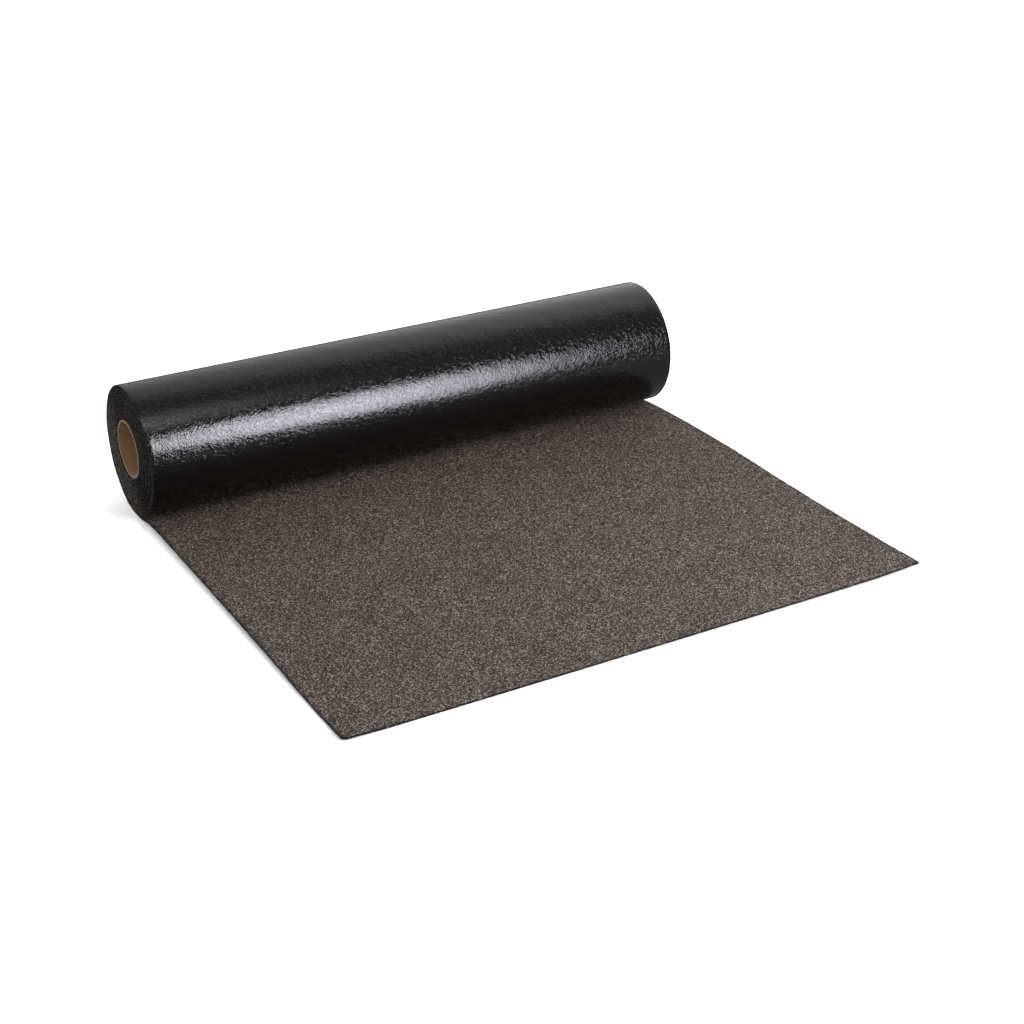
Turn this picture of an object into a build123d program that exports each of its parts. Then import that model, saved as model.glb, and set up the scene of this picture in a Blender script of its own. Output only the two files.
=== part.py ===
from build123d import *
import math
import os

# A roll of mineral-surfaced roofing felt with its free end pulled out in front of it.
# Millimetres. +X runs along the roll, +Y points from the free edge to the roll, +Z is up.
# The origin lies on the ground, under the middle of the whole outline.

# The felt, as it comes off the production line
sheet_width = 1000.0
sheet_thickness = 4.0

# The free end: lifted a little in front of the roll, then settled flat on the ground
free_length = 812.0  # from the line where the roll stands to the free edge
lift_height = 8.5
lift_run = 120.0  # along the ground, up to the full lift
settle_run = 400.0  # along the ground, down from it again
flat_run = 80.0  # what lies flat behind the free edge

# The winding: how many whole turns, and how much air lies between them
turn_count = 12
tight_air = 0.3  # at the back, where the turns press on each other
slack = 0.8  # how far each turn has slipped towards the free end

# The cardboard tube that the felt is wound on
core_diameter = 100.0
core_wall = 4.0
core_clearance = 0.3  # all round, between the tube and the first turn

# The air between the turns, as it shows on both ends of the roll
gap_depth = 5.0
mouth_reach = 7.0  # where the wedge between roll and free end opens to its full width

turn_pitch = sheet_thickness + tight_air + slack
foot_run = mouth_reach + 2 * sheet_thickness  # flat under the roll, and past the wedge's mouth
bore_radius = core_diameter / 2 + core_clearance

# How much tighter the sheet bends past the back, the top, the front and the bottom of a turn
even_step = turn_pitch / 4
turn_steps = [even_step + slack / 2, even_step, even_step - slack / 2, even_step]
roll_radius = bore_radius + sheet_thickness + turn_count * turn_pitch - even_step


def quarter_bends():
    """Centre and radius of the sheet's underside in each quarter turn, from the ground inwards.

    The first quarter starts where the roll stands, and each runs on from the one before.
    """
    bend_ends = [(1, 0), (0, 1), (-1, 0), (0, -1)]
    y, z, radius = 0.0, roll_radius, roll_radius
    found = []
    for step, (end_y, end_z) in list(zip(turn_steps, bend_ends)) * turn_count:
        found.append((y, z, radius))
        y, z, radius = y + end_y * step, z + end_z * step, radius - step
    return found


bends = quarter_bends()
first_turn = 4 * (turn_count - 1)  # where the bends of the turn on the core begin
core_y, core_z, _ = bends[-1]
origin_y = (roll_radius - free_length) / 2


def underside(index):
    """One quarter turn of the side that the roll shows outside."""
    y, z, radius = bends[index]
    return CenterArc((y, z), radius, 90 * (index % 4) - 90, 90)


def mineral_side(index):
    """The same quarter turn on the side that the roll hides inside."""
    y, z, radius = bends[index]
    return CenterArc((y, z), radius - sheet_thickness, 90 * (index % 4) - 90, 90)


def mouth_angle(reach):
    """Where on the outermost turn's last quarter the sheet lies this far in front of its foot."""
    y, _, radius = bends[3]
    return 180 + math.degrees(math.acos((reach + y) / radius))


def roll_front(begin, end):
    """A stretch of the outermost turn's last quarter, which faces the free end."""
    y, z, radius = bends[3]
    return CenterArc((y, z), radius, begin, end - begin)


def ramp(near, far, rise, above):
    """Two equal arcs that lead from level to level, at a height above the sheet's underside."""
    run = (near[0] - far[0]) / 2
    slope = 2 * math.atan2(rise / 2, run)
    middle = (
        near[0] - run + above * math.sin(slope),
        near[1] + rise / 2 + above * math.cos(slope),
    )
    leave = TangentArc((near[0], near[1] + above), middle, tangent=(-1, 0))
    arrive = TangentArc(middle, (far[0], far[1] + above), tangent=leave % 1)
    return [leave, arrive]


def free_end_side(above):
    """One side of the free end, from the roll's foot to the free edge."""
    crest = -foot_run - lift_run
    settle = flat_run + settle_run - free_length
    landing = flat_run - free_length
    return [
        *ramp((-foot_run, 0), (crest, lift_height), lift_height, above),
        Line((crest, lift_height + above), (settle, lift_height + above)),
        *ramp((settle, lift_height), (landing, 0), -lift_height, above),
        Line((landing, above), (-free_length, above)),
    ]


def roll_outline():
    """Section of the whole sheet: the wound turns as one, with the free end in front."""
    front = roll_front(180, mouth_angle(mouth_reach))
    return make_face([
        *[underside(index) for index in range(3)],
        front,
        Line(front @ 1, (-mouth_reach, sheet_thickness)),
        Line((-mouth_reach, sheet_thickness), (-foot_run, sheet_thickness)),
        *free_end_side(sheet_thickness),
        Line((-free_length, sheet_thickness), (-free_length, 0)),
        *free_end_side(0),
        Line((-foot_run, 0), (0, 0)),
    ])


def air_between_turns():
    """Section of the air between the turns.

    It runs as a spiral band from the wedge in front of the roll to the sheet's inner end,
    and past that end as the crescent that the sheet leaves where it climbs over itself.
    """
    crescent_top = mineral_side(first_turn + 1) @ 1
    core_top = (core_y, core_z + core_diameter / 2)
    core_bottom = (core_y, core_z - core_diameter / 2)
    wedge = roll_front(mouth_angle(foot_run), 270)
    return make_face([
        Line((-foot_run, sheet_thickness), (0, sheet_thickness)),
        *[mineral_side(index) for index in range(first_turn + 2)],
        Line(crescent_top, core_top),
        CenterArc((core_y, core_z), core_diameter / 2, 90, -180),
        Line(core_bottom, underside(first_turn + 3) @ 1),
        *[underside(index) for index in range(4, first_turn + 4)],
        wedge,
        Line(wedge @ 0, (-foot_run, sheet_thickness)),
    ])


def felt_sheet():
    """The felt: a turned roll with its bore and its free end, its turns shown on both ends."""
    left_end = Plane.YZ.offset(-sheet_width / 2)
    section = roll_outline() - Pos(core_y, core_z) * Circle(bore_radius)
    air = extrude(left_end * air_between_turns(), gap_depth)
    sheet = extrude(left_end * section, sheet_width)
    return sheet - air - Pos(sheet_width - gap_depth, 0, 0) * air


def cardboard_core():
    """The cardboard tube, cut flush with the felt."""
    outer = core_diameter / 2
    ring = Circle(outer) - Circle(outer - core_wall)
    left_end = Plane.YZ.offset(-sheet_width / 2)
    return extrude(left_end * Pos(core_y, core_z) * ring, sheet_width)


os.makedirs("parts", exist_ok=True)
for piece in (felt_sheet, cardboard_core):
    export_step(Pos(0, -origin_y, 0) * piece(), f"parts/{piece.__name__}.step")
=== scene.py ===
from math import cos, pi, radians, sin

import bmesh
import bpy
import numpy as np
from mathutils import Matrix, Vector, noise


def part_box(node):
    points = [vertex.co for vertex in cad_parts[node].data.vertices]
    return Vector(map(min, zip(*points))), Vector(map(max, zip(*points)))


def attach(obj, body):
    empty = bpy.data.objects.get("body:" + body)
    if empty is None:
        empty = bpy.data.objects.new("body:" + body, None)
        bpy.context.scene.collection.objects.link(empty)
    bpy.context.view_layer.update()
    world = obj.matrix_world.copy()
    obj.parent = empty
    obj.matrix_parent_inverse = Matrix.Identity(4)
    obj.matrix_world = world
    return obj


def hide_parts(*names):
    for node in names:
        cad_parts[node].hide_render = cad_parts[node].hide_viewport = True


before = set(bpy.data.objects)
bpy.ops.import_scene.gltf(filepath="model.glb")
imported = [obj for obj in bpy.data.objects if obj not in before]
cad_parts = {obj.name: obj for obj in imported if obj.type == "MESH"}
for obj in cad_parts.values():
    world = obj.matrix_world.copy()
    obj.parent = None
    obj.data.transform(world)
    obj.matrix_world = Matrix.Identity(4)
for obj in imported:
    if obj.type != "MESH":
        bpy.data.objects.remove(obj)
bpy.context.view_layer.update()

# The cardboard core
# A spiral-wound tube of grey-brown paper board, glued from plies and sawn flush with the roll.
# Its wall is 4 mm. The plies show as rings on the sawn end, and as a long helix on the faces.
core_low, core_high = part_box("cardboard_core")
core_axis = (core_low + core_high) / 2
core_radius = (core_high.z - core_low.z) / 2
core_length = core_high.x - core_low.x
core_wall = 0.004
core_sides = 128
core_rings = 20
sawn_reach = 0.002  # how far in from each end the saw has frayed the board
saw_roughness = 0.0003
saw_marks = 140  # a metre
edge_rounding = 0.0005
smooth_below = radians(40)


def deselect_all():
    """Nothing stays selected, so the next operator acts on the new piece alone."""
    bpy.ops.object.select_all(action="DESELECT")


def round_edges(piece, sharper_than):
    """Rounds the piece's edges where its faces meet at more than so many degrees."""
    softened = piece.modifiers.new("softened edges", "BEVEL")
    softened.width, softened.segments = edge_rounding, 2
    softened.limit_method, softened.angle_limit = "ANGLE", radians(sharper_than)
    bpy.ops.object.modifier_apply(modifier=softened.name)


def linear(hex_colour):
    """An sRGB hex colour as linear red, green, blue and alpha."""
    parts = [int(hex_colour[i : i + 2], 16) / 255 for i in (1, 3, 5)]
    return (*[p / 12.92 if p <= 0.04045 else ((p + 0.055) / 1.055) ** 2.4 for p in parts], 1)


def node(tree, kind, sockets=None, stops=(), **settings):
    """Adds a node with its settings, its colour stops, and a value or a link for each socket.

    A node that is given for a socket is linked to it by its first output.
    """
    made = tree.nodes.new(kind)
    for name, value in settings.items():
        setattr(made, name, value)
    for socket, value in (sockets or {}).items():
        if isinstance(value, bpy.types.Node):
            value = value.outputs[0]
        if isinstance(value, bpy.types.NodeSocket):
            tree.links.new(value, made.inputs[socket])
        else:
            made.inputs[socket].default_value = value
    for index, (place, colour) in enumerate(stops):
        elements = made.color_ramp.elements
        stop = elements[index] if index < 2 else elements.new(place)
        stop.position, stop.color = place, linear(colour)
    return made


def empty_material(name):
    """A material with nothing in it but its output node."""
    material = bpy.data.materials.new(name)
    material.use_nodes = True
    for old in list(material.node_tree.nodes):
        if old.type != "OUTPUT_MATERIAL":
            material.node_tree.nodes.remove(old)
    return material, material.node_tree, material.node_tree.nodes["Material Output"]


deselect_all()
bpy.ops.mesh.primitive_circle_add(
    vertices=core_sides,
    radius=core_radius,
    fill_type="NOTHING",
    location=(core_low.x, core_axis.y, core_axis.z),
    rotation=(0, pi / 2, 0),
)
core = bpy.context.object
core.name = "cardboard_tube"
bpy.ops.object.transform_apply(location=True, rotation=True, scale=True)
bpy.ops.object.mode_set(mode="EDIT")
bpy.ops.mesh.select_all(action="SELECT")
for _ in range(core_rings):
    bpy.ops.mesh.extrude_region_move(
        TRANSFORM_OT_translate={"value": (core_length / core_rings, 0, 0)}
    )
bpy.ops.mesh.select_all(action="SELECT")
bpy.ops.mesh.normals_make_consistent(inside=False)
bpy.ops.object.mode_set(mode="OBJECT")
wall = core.modifiers.new("board wall", "SOLIDIFY")
wall.thickness, wall.offset = core_wall, -1
bpy.ops.object.modifier_apply(modifier=wall.name)
round_edges(core, sharper_than=50)
for vertex in core.data.vertices:
    if abs(vertex.co.x) > core_length / 2 - sawn_reach:
        vertex.co.x += saw_roughness * noise.noise(vertex.co * saw_marks)
bpy.ops.object.shade_smooth_by_angle(angle=smooth_below)

# Kraft board, wound and glued: matt brown with long pale and dark fibres along the helix.
# The sawn end is paler, because the saw lifts the fibres, and shows the plies as fine rings.
helix_climb = 0.150  # along the tube in one turn
fibre_run = 0.006  # metres a radian: an eighth of the real run, which draws the fibres out
fibre_scale = 700  # fibres 1.4 mm apart, coarser than the real ones so that they show
patch_scale = 35
ply_scale = 1400  # plies 0.7 mm thick
board, tree, output = empty_material("kraft board, wound and glued")
place = node(tree, "ShaderNodeTexCoord").outputs["Object"]
onto_axis = (0, -core_axis.y, -core_axis.z)
centred = node(tree, "ShaderNodeMapping", {"Vector": place, "Location": onto_axis})
along = node(tree, "ShaderNodeSeparateXYZ", {0: centred})
turned = node(
    tree,
    "ShaderNodeMath",
    {0: along.outputs["Z"], 1: along.outputs["Y"]},
    operation="ARCTAN2",
)
from_axis = node(tree, "ShaderNodeVectorMath", {0: centred, 1: (0, 1, 1)}, operation="MULTIPLY")
radial = node(tree, "ShaderNodeVectorMath", {0: from_axis}, operation="LENGTH").outputs["Value"]
# across a paper strip, a point lies at its x plus its share of a turn's climb
helix = node(
    tree,
    "ShaderNodeMath",
    {0: turned, 1: helix_climb / (2 * pi), 2: along.outputs["X"]},
    operation="MULTIPLY_ADD",
)
round_tube = node(tree, "ShaderNodeMath", {0: turned, 1: fibre_run}, operation="MULTIPLY")
fibre_place = node(tree, "ShaderNodeCombineXYZ", {"X": helix, "Y": round_tube, "Z": radial})
fibres = node(
    tree,
    "ShaderNodeTexNoise",
    {"Vector": fibre_place, "Scale": fibre_scale, "Detail": 5, "Roughness": 0.65},
)
fibre_colour = node(
    tree,
    "ShaderNodeValToRGB",
    {"Fac": fibres},
    stops=[(0.3, "#96765a"), (0.5, "#ba966f"), (0.7, "#dab48e")],
)
patches = node(
    tree,
    "ShaderNodeTexNoise",
    {"Vector": centred, "Scale": patch_scale, "Detail": 3},
)
# a Mix node takes its colours on sockets 6 and 7, and its mixed colour is output 2
patched = node(
    tree,
    "ShaderNodeMix",
    {0: patches, 6: fibre_colour, 7: linear("#b38e69")},
    data_type="RGBA",
).outputs[2]
# the glued seam is a thin dark line on every other turn of the helix
strip = node(tree, "ShaderNodeMath", {0: helix, 1: helix_climb}, operation="PINGPONG")
seam = node(
    tree,
    "ShaderNodeMapRange",
    {"Value": strip, "From Max": 0.0008, "To Min": 0.55, "To Max": 1.0},
)
seamed = node(
    tree,
    "ShaderNodeMix",
    {0: 1.0, 6: patched, 7: seam},
    data_type="RGBA",
    blend_type="MULTIPLY",
).outputs[2]
plies = node(tree, "ShaderNodeTexNoise", {"Vector": radial, "Scale": ply_scale, "Detail": 2})
end_colour = node(
    tree,
    "ShaderNodeValToRGB",
    {"Fac": plies},
    stops=[(0.35, "#a8947f"), (0.65, "#d2c2b0")],
)
facing = node(tree, "ShaderNodeNewGeometry").outputs["True Normal"]
along_x = node(tree, "ShaderNodeSeparateXYZ", {0: facing}).outputs["X"]
level_with_end = node(tree, "ShaderNodeMath", {0: along_x}, operation="ABSOLUTE")
is_end = node(
    tree,
    "ShaderNodeMapRange",
    {"Value": level_with_end, "From Min": 0.35, "From Max": 0.75},
)
colour = node(
    tree,
    "ShaderNodeMix",
    {0: is_end, 6: seamed, 7: end_colour},
    data_type="RGBA",
).outputs[2]
fuzz = node(tree, "ShaderNodeBump", {"Height": fibres, "Strength": 0.6, "Distance": 0.0004})
shader = node(
    tree,
    "ShaderNodeBsdfPrincipled",
    {"Base Color": colour, "Roughness": 0.82, "IOR": 1.45, "Normal": fuzz},
)
tree.links.new(shader.outputs[0], output.inputs[0])
core.data.materials.append(board)
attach(core, "root")
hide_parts("cardboard_core")

# The felt
# One long sheet of mineral-surfaced bitumen felt, 4 mm thick, wound twelve times round the core.
# It is rolled with the granules inside, so the roll shows the glossy film of its underside.
felt_low, felt_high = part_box("felt_sheet")
felt_width = felt_high.x - felt_low.x
felt_thickness = 0.004
free_length = 0.8142  # from the line where the roll stands to the free edge
turn_count = 12
turn_pitch = 0.0051  # from turn to turn: the felt and the air that it traps
slack = 0.0008  # how far each turn has slipped towards the free end
bore_radius = 0.0503
turn_steps = [turn_pitch / 4 + shift for shift in (slack / 2, 0, -slack / 2, 0)]
roll_radius = bore_radius + felt_thickness + (turn_count - 0.25) * turn_pitch
foot_y = felt_high.y - roll_radius
free_edge_y = foot_y - free_length
columns = 152  # across the sheet, on the free end and the outermost turn
kept_every = 8  # further in, only one column in eight stays
outer_steps = 16  # in a quarter of the outermost turn
inner_steps = 12
same_place = 1e-5
same_angle = 1e-6

# how high the free end's underside lies along its left and its right edge, by distance from the
# foot: raised where the felt still remembers the roll
left_edge = [
    *[(0, 0), (0.01, 0), (0.065, 0.0084), (0.154, 0.0094), (0.300, 0.0085), (0.447, 0.0074)],
    *[(0.601, 0.0045), (0.698, 0.0009), (0.763, 0), (free_length, 0)],
]
right_edge = [
    *[(0, 0), (0.01, 0), (0.065, 0.0040), (0.154, 0.0072), (0.300, 0.0088), (0.447, 0.0060)],
    *[(0.601, 0.0048), (0.698, 0.0058), (0.763, 0.0052), (free_length, 0.0046)],
]

# the two front corners curl up a little more, as a sheet does that has lain rolled up:
# x, how high, and how far round the corner the sheet rises with it
corner_lifts = [(felt_width / 2, 0.0030, 0.10), (-felt_width / 2, 0.0022, 0.08)]

# how far a slit side strays: each turn stands in or out, wanders on its way round, and is torn
# a little by the blade, more so on the free end
turn_offset = 0.0011
turn_wander = 0.0005
wound_tears = 0.0003
free_tears = 0.0007
free_edge_wander = 0.0004
blunt_corner = Vector((0.0030, 0.0022, 0))  # how far the near left corner has been knocked in


def level_at(edge, reach):
    """The height on a smooth line through the levels of one edge, this far from the foot."""
    after = next((i for i, (place, _) in enumerate(edge) if place > reach), len(edge) - 1)
    near, far = edge[after - 1], edge[after]
    before = edge[max(after - 2, 0)]
    beyond = edge[min(after + 1, len(edge) - 1)]
    run = far[0] - near[0]
    leave = (far[1] - before[1]) / (far[0] - before[0]) * run
    arrive = (beyond[1] - near[1]) / (beyond[0] - near[0]) * run
    if before == near or near[1] == before[1] == 0:
        leave = 0
    share = (reach - near[0]) / run
    rest = 1 - share
    return (
        near[1] * (1 + 2 * share) * rest * rest
        + far[1] * (3 - 2 * share) * share * share
        + leave * share * rest * rest
        - arrive * rest * share * share
    )


def lift(x, reach):
    """How high the free end's underside lies: the left edge's line blends into the right edge's."""
    right_share = (x / felt_width + 0.5) ** 2
    left = level_at(left_edge, reach)
    return max(left + right_share * (level_at(right_edge, reach) - left), 0)


def select_vertices(chosen):
    """In edit mode, selects just the vertices that the test chooses."""
    bpy.ops.mesh.select_all(action="DESELECT")
    mesh = bmesh.from_edit_mesh(bpy.context.edit_object.data)
    for vertex in mesh.verts:
        if chosen(vertex.co):
            vertex.select = True
    mesh.select_flush(True)


# the winding starts from one strip of felt just in front of the line where the roll stands
strip_run = free_length / columns
half_cell = strip_run / 2
deselect_all()
bpy.ops.mesh.primitive_grid_add(x_subdivisions=columns, y_subdivisions=1, size=1)
felt = bpy.context.object
felt.name = "mineral_felt"
felt.scale = (felt_width, strip_run, 1)
felt.location = (0, foot_y - strip_run / 2, 0)
bpy.ops.object.transform_apply(location=True, rotation=True, scale=True)

# each quarter turn is spun round its own centre, a little tighter than the one before
bend_y, bend_z, bend_radius = foot_y, roll_radius, roll_radius
bends = []
bpy.ops.object.mode_set(mode="EDIT")
bpy.ops.mesh.select_mode(type="VERT")
select_vertices(lambda co: co.y > foot_y - half_cell)
for quarter in range(4 * turn_count):
    bends.append((bend_y, bend_z, bend_radius))
    steps = outer_steps if quarter < 4 else inner_steps
    runs = [1, steps - 1] if quarter == 4 else [steps]
    for run in runs:
        bpy.ops.mesh.spin(
            steps=run,
            angle=pi / 2 * run / steps,
            center=(0, bend_y, bend_z),
            axis=(-1, 0, 0),
            use_auto_merge=False,
        )
        if run == 1:
            # further in only the ends show, so from here the sheet has few columns
            mesh = bmesh.from_edit_mesh(felt.data)
            ring = sorted((v for v in mesh.verts if v.select), key=lambda v: v.co.x)
            edge = ring[0].co.copy()
            kept = {v.co.x for v in ring[::kept_every]}
            select_vertices(lambda co: (co - edge).yz.length < same_place and co.x not in kept)
            bpy.ops.mesh.dissolve_verts()
            select_vertices(lambda co: (co - edge).yz.length < same_place)
    step = turn_steps[quarter % 4]
    way_out = pi / 2 * (quarter % 4)
    bend_y += step * round(cos(way_out))
    bend_z += step * round(sin(way_out))
    bend_radius -= step
bpy.ops.object.mode_set(mode="OBJECT")

# the free end is one fine grid, raised by its two edges' levels
deselect_all()
bpy.ops.mesh.primitive_plane_add(size=1)
free_end = bpy.context.object
free_end.scale = (felt_width, free_length - strip_run, 1)
free_end.location = (0, free_edge_y + (free_length - strip_run) / 2, 0)
bpy.ops.object.transform_apply(location=True, rotation=True, scale=True)
bpy.ops.object.mode_set(mode="EDIT")
bpy.ops.mesh.subdivide(number_cuts=columns // 2 - 1)
bpy.ops.mesh.subdivide(number_cuts=1)
bpy.ops.object.mode_set(mode="OBJECT")
for vertex in free_end.data.vertices:
    vertex.co.z = lift(vertex.co.x, foot_y - vertex.co.y)
bpy.ops.object.mode_set(mode="EDIT")
bpy.ops.mesh.select_mode(type="VERT")
for corner_x, height, reach in corner_lifts:
    select_vertices(
        lambda co: abs(co.x - corner_x) < half_cell and abs(co.y - free_edge_y) < half_cell
    )
    bpy.ops.transform.translate(
        value=(0, 0, height),
        use_proportional_edit=True,
        proportional_edit_falloff="SMOOTH",
        proportional_size=reach,
    )
bpy.ops.object.mode_set(mode="OBJECT")

# the strip and the free end are one sheet
deselect_all()
free_end.select_set(True)
felt.select_set(True)
bpy.context.view_layer.objects.active = felt
bpy.ops.object.join()
bpy.ops.object.mode_set(mode="EDIT")
bpy.ops.mesh.select_all(action="SELECT")
bpy.ops.mesh.remove_doubles(threshold=same_place)
bpy.ops.mesh.normals_make_consistent(inside=True)
bpy.ops.object.mode_set(mode="OBJECT")

# how far along the sheet each point lies, from the free edge, and how many turns in
points = np.array([v.co for v in felt.data.vertices])
along_sheet = points[:, 1] - free_edge_y
turn_of = np.zeros(len(points))
wound = free_length
for quarter, (y, z, radius) in enumerate(bends):
    reach = np.hypot(points[:, 1] - y, points[:, 2] - z)
    angle = np.arctan2(points[:, 2] - z, points[:, 1] - y) - radians(90 * (quarter % 4) - 90)
    angle = (angle + pi) % (2 * pi) - pi
    on_bend = (angle > same_angle) & (angle < pi / 2 + same_angle)
    here = (abs(reach - radius) < 2 * same_place) & on_bend
    along_sheet[here] = wound + radius * angle[here]
    turn_of[here] = quarter / 4 + angle[here] / (2 * pi)
    wound += radius * pi / 2

# each noise is read along a line of its own, at so many waves a turn or a metre
for index, vertex in enumerate(felt.data.vertices):
    if abs(vertex.co.x) < felt_width / 2 - same_place:
        continue
    side = 1 if vertex.co.x > 0 else -1
    turn, along = turn_of[index], along_sheet[index]
    tears = wound_tears if turn else free_tears
    stray = turn_offset * noise.noise(Vector((turn * 2.2, side * 7.3, 0.5)))
    stray += turn_wander * noise.noise(Vector((along * 24, side * 3.1, 4.0)))
    stray += tears * noise.noise(Vector((along * 130, side * 5.7, 9.0)))
    vertex.co.x += side * stray
for index, vertex in enumerate(felt.data.vertices):
    if along_sheet[index] < same_place:
        vertex.co.y += free_edge_wander * noise.noise(Vector((vertex.co.x * 110, 2.0, 1.0)))
        if vertex.co.x < half_cell - felt_width / 2:
            vertex.co += blunt_corner

sheet_map = felt.data.uv_layers.active or felt.data.uv_layers.new(name="sheet")
sheet_map.name = "sheet"
for loop in felt.data.loops:
    sheet_map.data[loop.index].uv = (points[loop.vertex_index, 0], along_sheet[loop.vertex_index])

felt_body = felt.modifiers.new("felt thickness", "SOLIDIFY")
felt_body.thickness, felt_body.offset = felt_thickness, 1
felt_body.material_offset, felt_body.material_offset_rim = 1, 2

# Mineral granules: crushed slate, one to two millimetres across, rolled into the hot bitumen.
# They give the eye a rough brown-grey salt and pepper, with dark bitumen down between the grains.
grain_size = 0.0016
drift_scale = 14  # thinner and thicker patches some 70 mm across
torn_reach = 0.007  # how far in the blade may tear out a grain
torn_from, torn_to = felt_width / 2 - 0.001, felt_width / 2 + 0.003
mineral, tree, output = empty_material("crushed slate granules")
place = node(tree, "ShaderNodeTexCoord").outputs["Object"]
grains = node(
    tree,
    "ShaderNodeTexVoronoi",
    {"Vector": place, "Scale": 1 / grain_size},
    feature="F1",
)
grain_edges = node(
    tree,
    "ShaderNodeTexVoronoi",
    {"Vector": place, "Scale": 1 / grain_size},
    feature="DISTANCE_TO_EDGE",
)
grain_kind = node(tree, "ShaderNodeSeparateColor", {0: grains.outputs["Color"]})
slate = node(
    tree,
    "ShaderNodeValToRGB",
    {"Fac": grain_kind},
    stops=[
        *[(0.0, "#090706"), (0.25, "#28211d"), (0.5, "#52463f"), (0.8, "#908276")],
        (1.0, "#d9c8b6"),
    ],
)
bitumen_between = node(
    tree,
    "ShaderNodeMapRange",
    {"Value": grain_edges.outputs["Distance"], "From Max": 0.15, "To Min": 0.15},
)
drifts = node(
    tree,
    "ShaderNodeTexNoise",
    {"Vector": place, "Scale": drift_scale, "Detail": 4, "Roughness": 0.6},
)
drift_level = node(
    tree,
    "ShaderNodeMapRange",
    {"Value": drifts, "From Min": 0.3, "From Max": 0.7, "To Min": 0.9, "To Max": 1.1},
)
# along both slit sides the blade has torn out grains, and the bitumen under them shows
across = node(tree, "ShaderNodeSeparateXYZ", {0: place})
off_middle = node(tree, "ShaderNodeMath", {0: across}, operation="ABSOLUTE")
tearing = node(
    tree,
    "ShaderNodeMath",
    {0: grain_kind.outputs[1], 1: torn_reach, 2: off_middle},
    operation="MULTIPLY_ADD",
)
kept_grains = node(
    tree,
    "ShaderNodeMapRange",
    {"Value": tearing, "From Min": torn_from, "From Max": torn_to, "To Min": 1.0, "To Max": 0.3},
)
shade = node(
    tree,
    "ShaderNodeMath",
    {0: bitumen_between, 1: drift_level},
    operation="MULTIPLY",
)
shade = node(tree, "ShaderNodeMath", {0: shade, 1: kept_grains}, operation="MULTIPLY")
colour = node(
    tree,
    "ShaderNodeMix",
    {0: 1.0, 6: slate, 7: shade},
    data_type="RGBA",
    blend_type="MULTIPLY",
).outputs[2]
relief = node(
    tree,
    "ShaderNodeBump",
    {"Height": grains.outputs["Distance"], "Strength": 0.9, "Distance": 0.0012},
    invert=True,
)
shader = node(
    tree,
    "ShaderNodeBsdfPrincipled",
    {"Base Color": colour, "Roughness": 0.78, "IOR": 1.5, "Normal": relief},
)
tree.links.new(shader.outputs[0], output.inputs[0])
felt.data.materials.append(mineral)

# The underside: bitumen under a thin melt-on film of polythene, which crinkles as it is rolled.
# It gives the eye a nearly black gloss, whose fine creases run every way and break up what it
# reflects. They are drawn coarser than the finest real ones, which would not show.
swell_scale = 28  # some 36 mm across
wrinkle_size = 0.0045
crease_size = 0.008
crease_width = 0.1  # as a share of the noise, to each side of its middle
film, tree, output = empty_material("crinkled polythene film on bitumen")
on_sheet = node(tree, "ShaderNodeUVMap", uv_map="sheet")
swells = node(
    tree,
    "ShaderNodeTexNoise",
    {"Vector": on_sheet, "Scale": swell_scale, "Detail": 2},
)
wrinkles = node(
    tree,
    "ShaderNodeTexNoise",
    {
        "Vector": on_sheet,
        "Scale": 1 / wrinkle_size,
        "Detail": 1,
        "Roughness": 0.75,
        "Distortion": 0.5,
    },
)
creases = node(
    tree,
    "ShaderNodeTexNoise",
    {
        "Vector": on_sheet,
        "Scale": 1 / crease_size,
        "Detail": 1,
        "Roughness": 0.5,
        "Distortion": 1.2,
    },
)
# a crease runs wherever the noise passes through its middle
off_crease = node(tree, "ShaderNodeMath", {0: creases, 1: 0.5}, operation="SUBTRACT")
off_crease = node(tree, "ShaderNodeMath", {0: off_crease}, operation="ABSOLUTE")
crease_height = node(
    tree,
    "ShaderNodeMapRange",
    {"Value": off_crease, "From Max": crease_width, "To Min": 1.0, "To Max": 0.0},
    interpolation_type="SMOOTHSTEP",
)
film_relief = node(
    tree,
    "ShaderNodeBump",
    {"Height": swells, "Strength": 1.0, "Distance": 0.0007},
)
for height, distance in ((wrinkles, 0.00026), (crease_height, 0.00009)):
    film_relief = node(
        tree,
        "ShaderNodeBump",
        {"Height": height, "Strength": 1.0, "Distance": distance, "Normal": film_relief},
    )
film_tone = node(
    tree,
    "ShaderNodeValToRGB",
    {"Fac": swells},
    stops=[(0.35, "#020202"), (0.65, "#030303")],
)
# bitumen reflects more than polythene does, so the IOR is bitumen's
shader = node(
    tree,
    "ShaderNodeBsdfPrincipled",
    {"Base Color": film_tone, "Roughness": 0.06, "IOR": 1.62, "Normal": film_relief},
)
tree.links.new(shader.outputs[0], output.inputs[0])
felt.data.materials.append(film)

# The cut edge: bitumen slit by a blade in the works, dull and nearly black, with slate dust
# pressed in. The dust is thickest behind and below the core, where most grains fell out.
smear_scale = 420
dust_size = 0.0022
dusty_side = (0, 0.85, -0.53)  # from the core's axis, backwards and down
dusty_beyond = 0.06  # this far to that side, the dust is at its thickest
cut_edge, tree, output = empty_material("slit bitumen edge")
place = node(tree, "ShaderNodeTexCoord").outputs["Object"]
smears = node(
    tree,
    "ShaderNodeTexNoise",
    {"Vector": place, "Scale": smear_scale, "Detail": 4, "Roughness": 0.65},
)
bitumen_tone = node(
    tree,
    "ShaderNodeValToRGB",
    {"Fac": smears},
    stops=[(0.3, "#090908"), (0.7, "#1b1a18")],
)
dust = node(
    tree,
    "ShaderNodeTexVoronoi",
    {"Vector": place, "Scale": 1 / dust_size},
    feature="F1",
)
dust_kind = node(tree, "ShaderNodeSeparateColor", {0: dust.outputs["Color"]})
from_core = node(tree, "ShaderNodeMapping", {"Vector": place, "Location": onto_axis})
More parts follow.
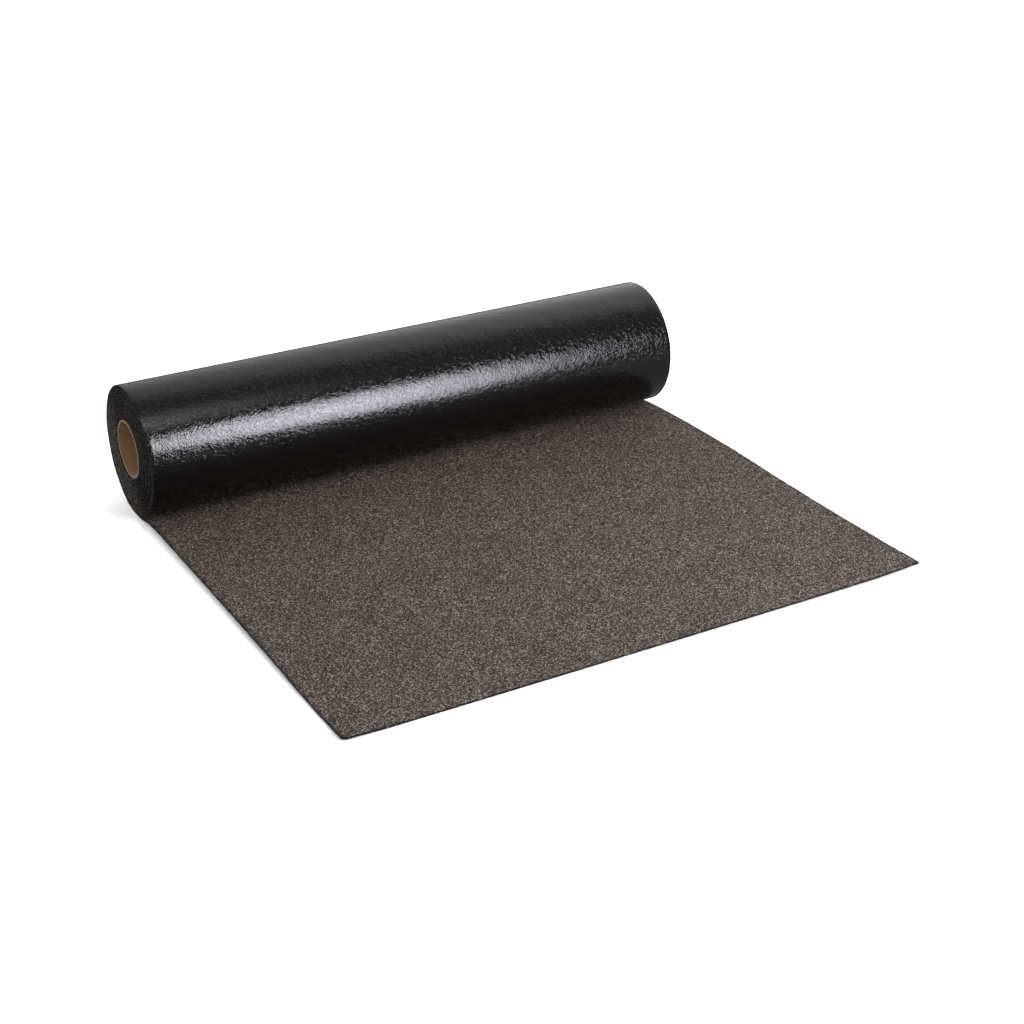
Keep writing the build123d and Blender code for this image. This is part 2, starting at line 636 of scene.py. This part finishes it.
behind = node(
    tree,
    "ShaderNodeVectorMath",
    {0: from_core, 1: dusty_side},
    operation="DOT_PRODUCT",
).outputs["Value"]
bare_share = node(
    tree,
    "ShaderNodeMapRange",
    {"Value": behind, "From Max": dusty_beyond, "To Min": 0.9, "To Max": 0.4},
    interpolation_type="SMOOTHSTEP",
)
is_dust = node(tree, "ShaderNodeMath", {0: dust_kind, 1: bare_share}, operation="GREATER_THAN")
dust_colour = node(
    tree,
    "ShaderNodeValToRGB",
    {"Fac": dust_kind.outputs[1]},
    stops=[(0.0, "#4a413a"), (0.6, "#6b6056"), (1.0, "#948778")],
)
colour = node(
    tree,
    "ShaderNodeMix",
    {0: is_dust, 6: bitumen_tone, 7: dust_colour},
    data_type="RGBA",
).outputs[2]
roughened = node(
    tree,
    "ShaderNodeBump",
    {"Height": smears, "Strength": 0.9, "Distance": 0.0008},
)
shader = node(
    tree,
    "ShaderNodeBsdfPrincipled",
    {"Base Color": colour, "Roughness": 0.6, "Specular IOR Level": 0.3, "Normal": roughened},
)
tree.links.new(shader.outputs[0], output.inputs[0])
felt.data.materials.append(cut_edge)

bpy.ops.object.modifier_apply(modifier=felt_body.name)
round_edges(felt, sharper_than=55)
bpy.ops.object.shade_smooth_by_angle(angle=smooth_below)
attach(felt, "root")
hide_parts("felt_sheet")

# The studio
# A white floor runs out to the horizon. The room is palest behind the roll to the right, dim in
# front and lighter again to the left. A tall softbox stands to the right of the free end, and a
# small panel hangs overhead.
floor_size = 60
softbox_foot = (0.35, -0.65, 0)  # where the tall softbox lights the floor most
deselect_all()
bpy.ops.mesh.primitive_plane_add(size=floor_size, location=(0, 0, 0))
floor = bpy.context.object
floor.name = "studio_floor"
paint, tree, output = empty_material("white studio floor")
white = node(tree, "ShaderNodeBsdfDiffuse", {"Color": linear("#a2a2a2")})
# only the camera sees the floor paler than it is, more so further from the softbox, so that it is
# white all over and still holds the shadows
place = node(tree, "ShaderNodeTexCoord").outputs["Object"]
from_softbox = node(
    tree,
    "ShaderNodeVectorMath",
    {0: place, 1: softbox_foot},
    operation="DISTANCE",
).outputs["Value"]
paler = node(
    tree,
    "ShaderNodeMapRange",
    {"Value": from_softbox, "From Min": 0.82, "From Max": 1.05, "To Min": 1.2, "To Max": 2.5},
)
is_camera = node(tree, "ShaderNodeLightPath").outputs["Is Camera Ray"]
extra = node(tree, "ShaderNodeMath", {0: paler, 1: is_camera}, operation="MULTIPLY")
overexposed = node(tree, "ShaderNodeBsdfDiffuse", {"Color": extra})
both = node(tree, "ShaderNodeAddShader", {0: white, 1: overexposed})
tree.links.new(both.outputs[0], output.inputs[0])
floor.data.materials.append(paint)

# the room's brightness by direction, where 1 is white: its back wall begins along a slanting
# line, and is paler further to the right
wall_dim_x, wall_pale_x = 0.28, 0.52
wall_slant = 1.85
wall_line = (0.78, 1.11)
left_dim_x, left_pale_x = -0.15, -0.55
world = bpy.data.worlds.new("studio")
bpy.context.scene.world = world
world.use_nodes = True
tree = world.node_tree
tree.nodes.clear()
place = node(tree, "ShaderNodeTexCoord").outputs["Generated"]
direction = node(tree, "ShaderNodeSeparateXYZ", {0: place})
rightward = node(tree, "ShaderNodeMath", {0: direction, 1: wall_dim_x}, operation="MAXIMUM")
slanted = node(
    tree,
    "ShaderNodeMath",
    {0: rightward, 1: wall_slant, 2: direction.outputs["Y"]},
    operation="MULTIPLY_ADD",
)
to_back = node(
    tree,
    "ShaderNodeMapRange",
    {"Value": slanted, "From Min": wall_line[0], "From Max": wall_line[1]},
    interpolation_type="SMOOTHSTEP",
)
back_wall, fill_from_left = [
    node(
        tree,
        "ShaderNodeMapRange",
        {"Value": direction, "From Min": dim_x, "From Max": pale_x, "To Min": dim, "To Max": pale},
    )
    for dim_x, pale_x, dim, pale in (
        (wall_dim_x, wall_pale_x, 0.52, 0.95),
        (left_dim_x, left_pale_x, 0.22, 0.50),
    )
]
# a Mix node takes its numbers on sockets 2 and 3
room = node(
    tree,
    "ShaderNodeMix",
    {0: to_back, 2: fill_from_left, 3: back_wall},
    data_type="FLOAT",
)
is_camera = node(tree, "ShaderNodeLightPath").outputs["Is Camera Ray"]
seen = node(tree, "ShaderNodeMix", {0: is_camera, 2: room, 3: 1.0}, data_type="FLOAT")
background = node(
    tree,
    "ShaderNodeBackground",
    {"Color": linear("#ffffff"), "Strength": seen},
)
node(tree, "ShaderNodeOutputWorld", {0: background})

# how much of each softbox's corners is cut off: 0.5 both ways is none, and 1 leaves a diamond
corner_cut = (0.74, 0.74, 0)


def softbox(name, centre, aim, width, height, brightness, colour, across, upwards):
    """An eight-sided softbox that faces its aim, as bright as the room's white times brightness.

    across and upwards are the stops of how its light fades from its left to its right edge and
    from its bottom to its top.
    """
    lamp = bpy.data.lights.new(name, "AREA")
    lamp.shape, lamp.size, lamp.size_y = "RECTANGLE", width, height
    lamp.energy, lamp.color = brightness * pi * width * height, linear(colour)[:3]
    lamp.use_nodes = True
    tree = lamp.node_tree
    tree.nodes.clear()
    on_face = node(tree, "ShaderNodeNewGeometry").outputs["Parametric"]
    spot = node(tree, "ShaderNodeSeparateXYZ", {0: on_face})
    fade_across = node(tree, "ShaderNodeValToRGB", {"Fac": spot.outputs["X"]}, stops=across)
    fade_upwards = node(tree, "ShaderNodeValToRGB", {"Fac": spot.outputs["Y"]}, stops=upwards)
    fade = node(
        tree,
        "ShaderNodeVectorMath",
        {0: fade_across, 1: fade_upwards},
        operation="MULTIPLY",
    )
    # the cloth's corners are cut off, where the two ways out from its middle add up to too much
    off_centre = node(
        tree,
        "ShaderNodeVectorMath",
        {0: on_face, 1: (2, 2, 0), 2: (-1, -1, 0)},
        operation="MULTIPLY_ADD",
    )
    sideways = node(tree, "ShaderNodeVectorMath", {0: off_centre}, operation="ABSOLUTE")
    both_ways = node(
        tree,
        "ShaderNodeVectorMath",
        {0: sideways, 1: corner_cut},
        operation="DOT_PRODUCT",
    ).outputs["Value"]
    on_cloth = node(
        tree,
        "ShaderNodeMapRange",
        {"Value": both_ways, "From Min": 0.97, "From Max": 1.0, "To Min": 1.0, "To Max": 0.0},
    )
    glow = node(tree, "ShaderNodeEmission", {"Color": fade, "Strength": on_cloth})
    node(tree, "ShaderNodeOutputLight", {0: glow})
    holder = bpy.data.objects.new(name, lamp)
    bpy.context.scene.collection.objects.link(holder)
    holder.location = centre
    holder.rotation_euler = (Vector(aim) - Vector(centre)).to_track_quat("-Z", "Y").to_euler()
    holder.visible_camera = False


softbox(
    "tall softbox",
    centre=(0.921, -1.980, 1.13),
    aim=(0.761, -0.993, 1.13),
    width=1.56,
    height=2.00,
    brightness=13.7,
    colour="#f6f5ff",
    across=[
        *[(0, "#cbcbcb"), (0.09, "#d4d4d4"), (0.17, "#e8e8e8"), (0.39, "#ffffff")],
        *[(0.55, "#ededed"), (0.68, "#d2d2d2"), (0.765, "#c0c0c0"), (0.82, "#9e9e9e")],
        *[(0.87, "#767676"), (0.92, "#4c4c4c"), (0.96, "#000000"), (1, "#000000")],
    ],
    upwards=[
        *[(0, "#a8a8a8"), (0.15, "#dcdcdc"), (0.45, "#ffffff"), (0.75, "#e4e4e4")],
        *[(0.9, "#bcbcbc"), (1, "#8c8c8c")],
    ],
)
softbox(
    "overhead panel",
    centre=(-0.155, -0.425, 1.50),
    aim=(-0.155, -0.425, 0),
    width=1.45,
    height=1.15,
    brightness=2.2,
    colour="#ffffff",
    across=[
        *[(0, "#000000"), (0.2, "#a8a8a8"), (0.4, "#ffffff"), (0.6, "#c8c8c8")],
        *[(0.8, "#606060"), (1, "#000000")],
    ],
    upwards=[
        *[(0, "#000000"), (0.22, "#c4c4c4"), (0.4, "#ffffff"), (0.56, "#f8f8f8")],
        *[(0.75, "#a8a8a8"), (1, "#000000")],
    ],
)

# The camera stands to the front left, looks down a little, and has a long lens.
camera_place = (-1.3859, -2.5048, 1.4188)
yaw, pitch, roll = radians(29.431), radians(25.932), radians(-0.457)
lens_pixels, picture_pixels, sensor = 1934.2, 1024, 36
ahead = Vector((sin(yaw) * cos(pitch), cos(yaw) * cos(pitch), -sin(pitch)))
level = Vector((cos(yaw), -sin(yaw), 0))
upright = level.cross(ahead)
right = cos(roll) * level + sin(roll) * upright
up = cos(roll) * upright - sin(roll) * level
camera = bpy.data.objects.new("camera", bpy.data.cameras.new("camera"))
bpy.context.scene.collection.objects.link(camera)
camera.matrix_world = Matrix(
    [(right[i], up[i], -ahead[i], camera_place[i]) for i in range(3)] + [(0, 0, 0, 1)]
)
camera.data.sensor_width = sensor
camera.data.lens = lens_pixels / picture_pixels * sensor
bpy.context.scene.camera = camera
bpy.context.scene.view_settings.view_transform = "Standard"
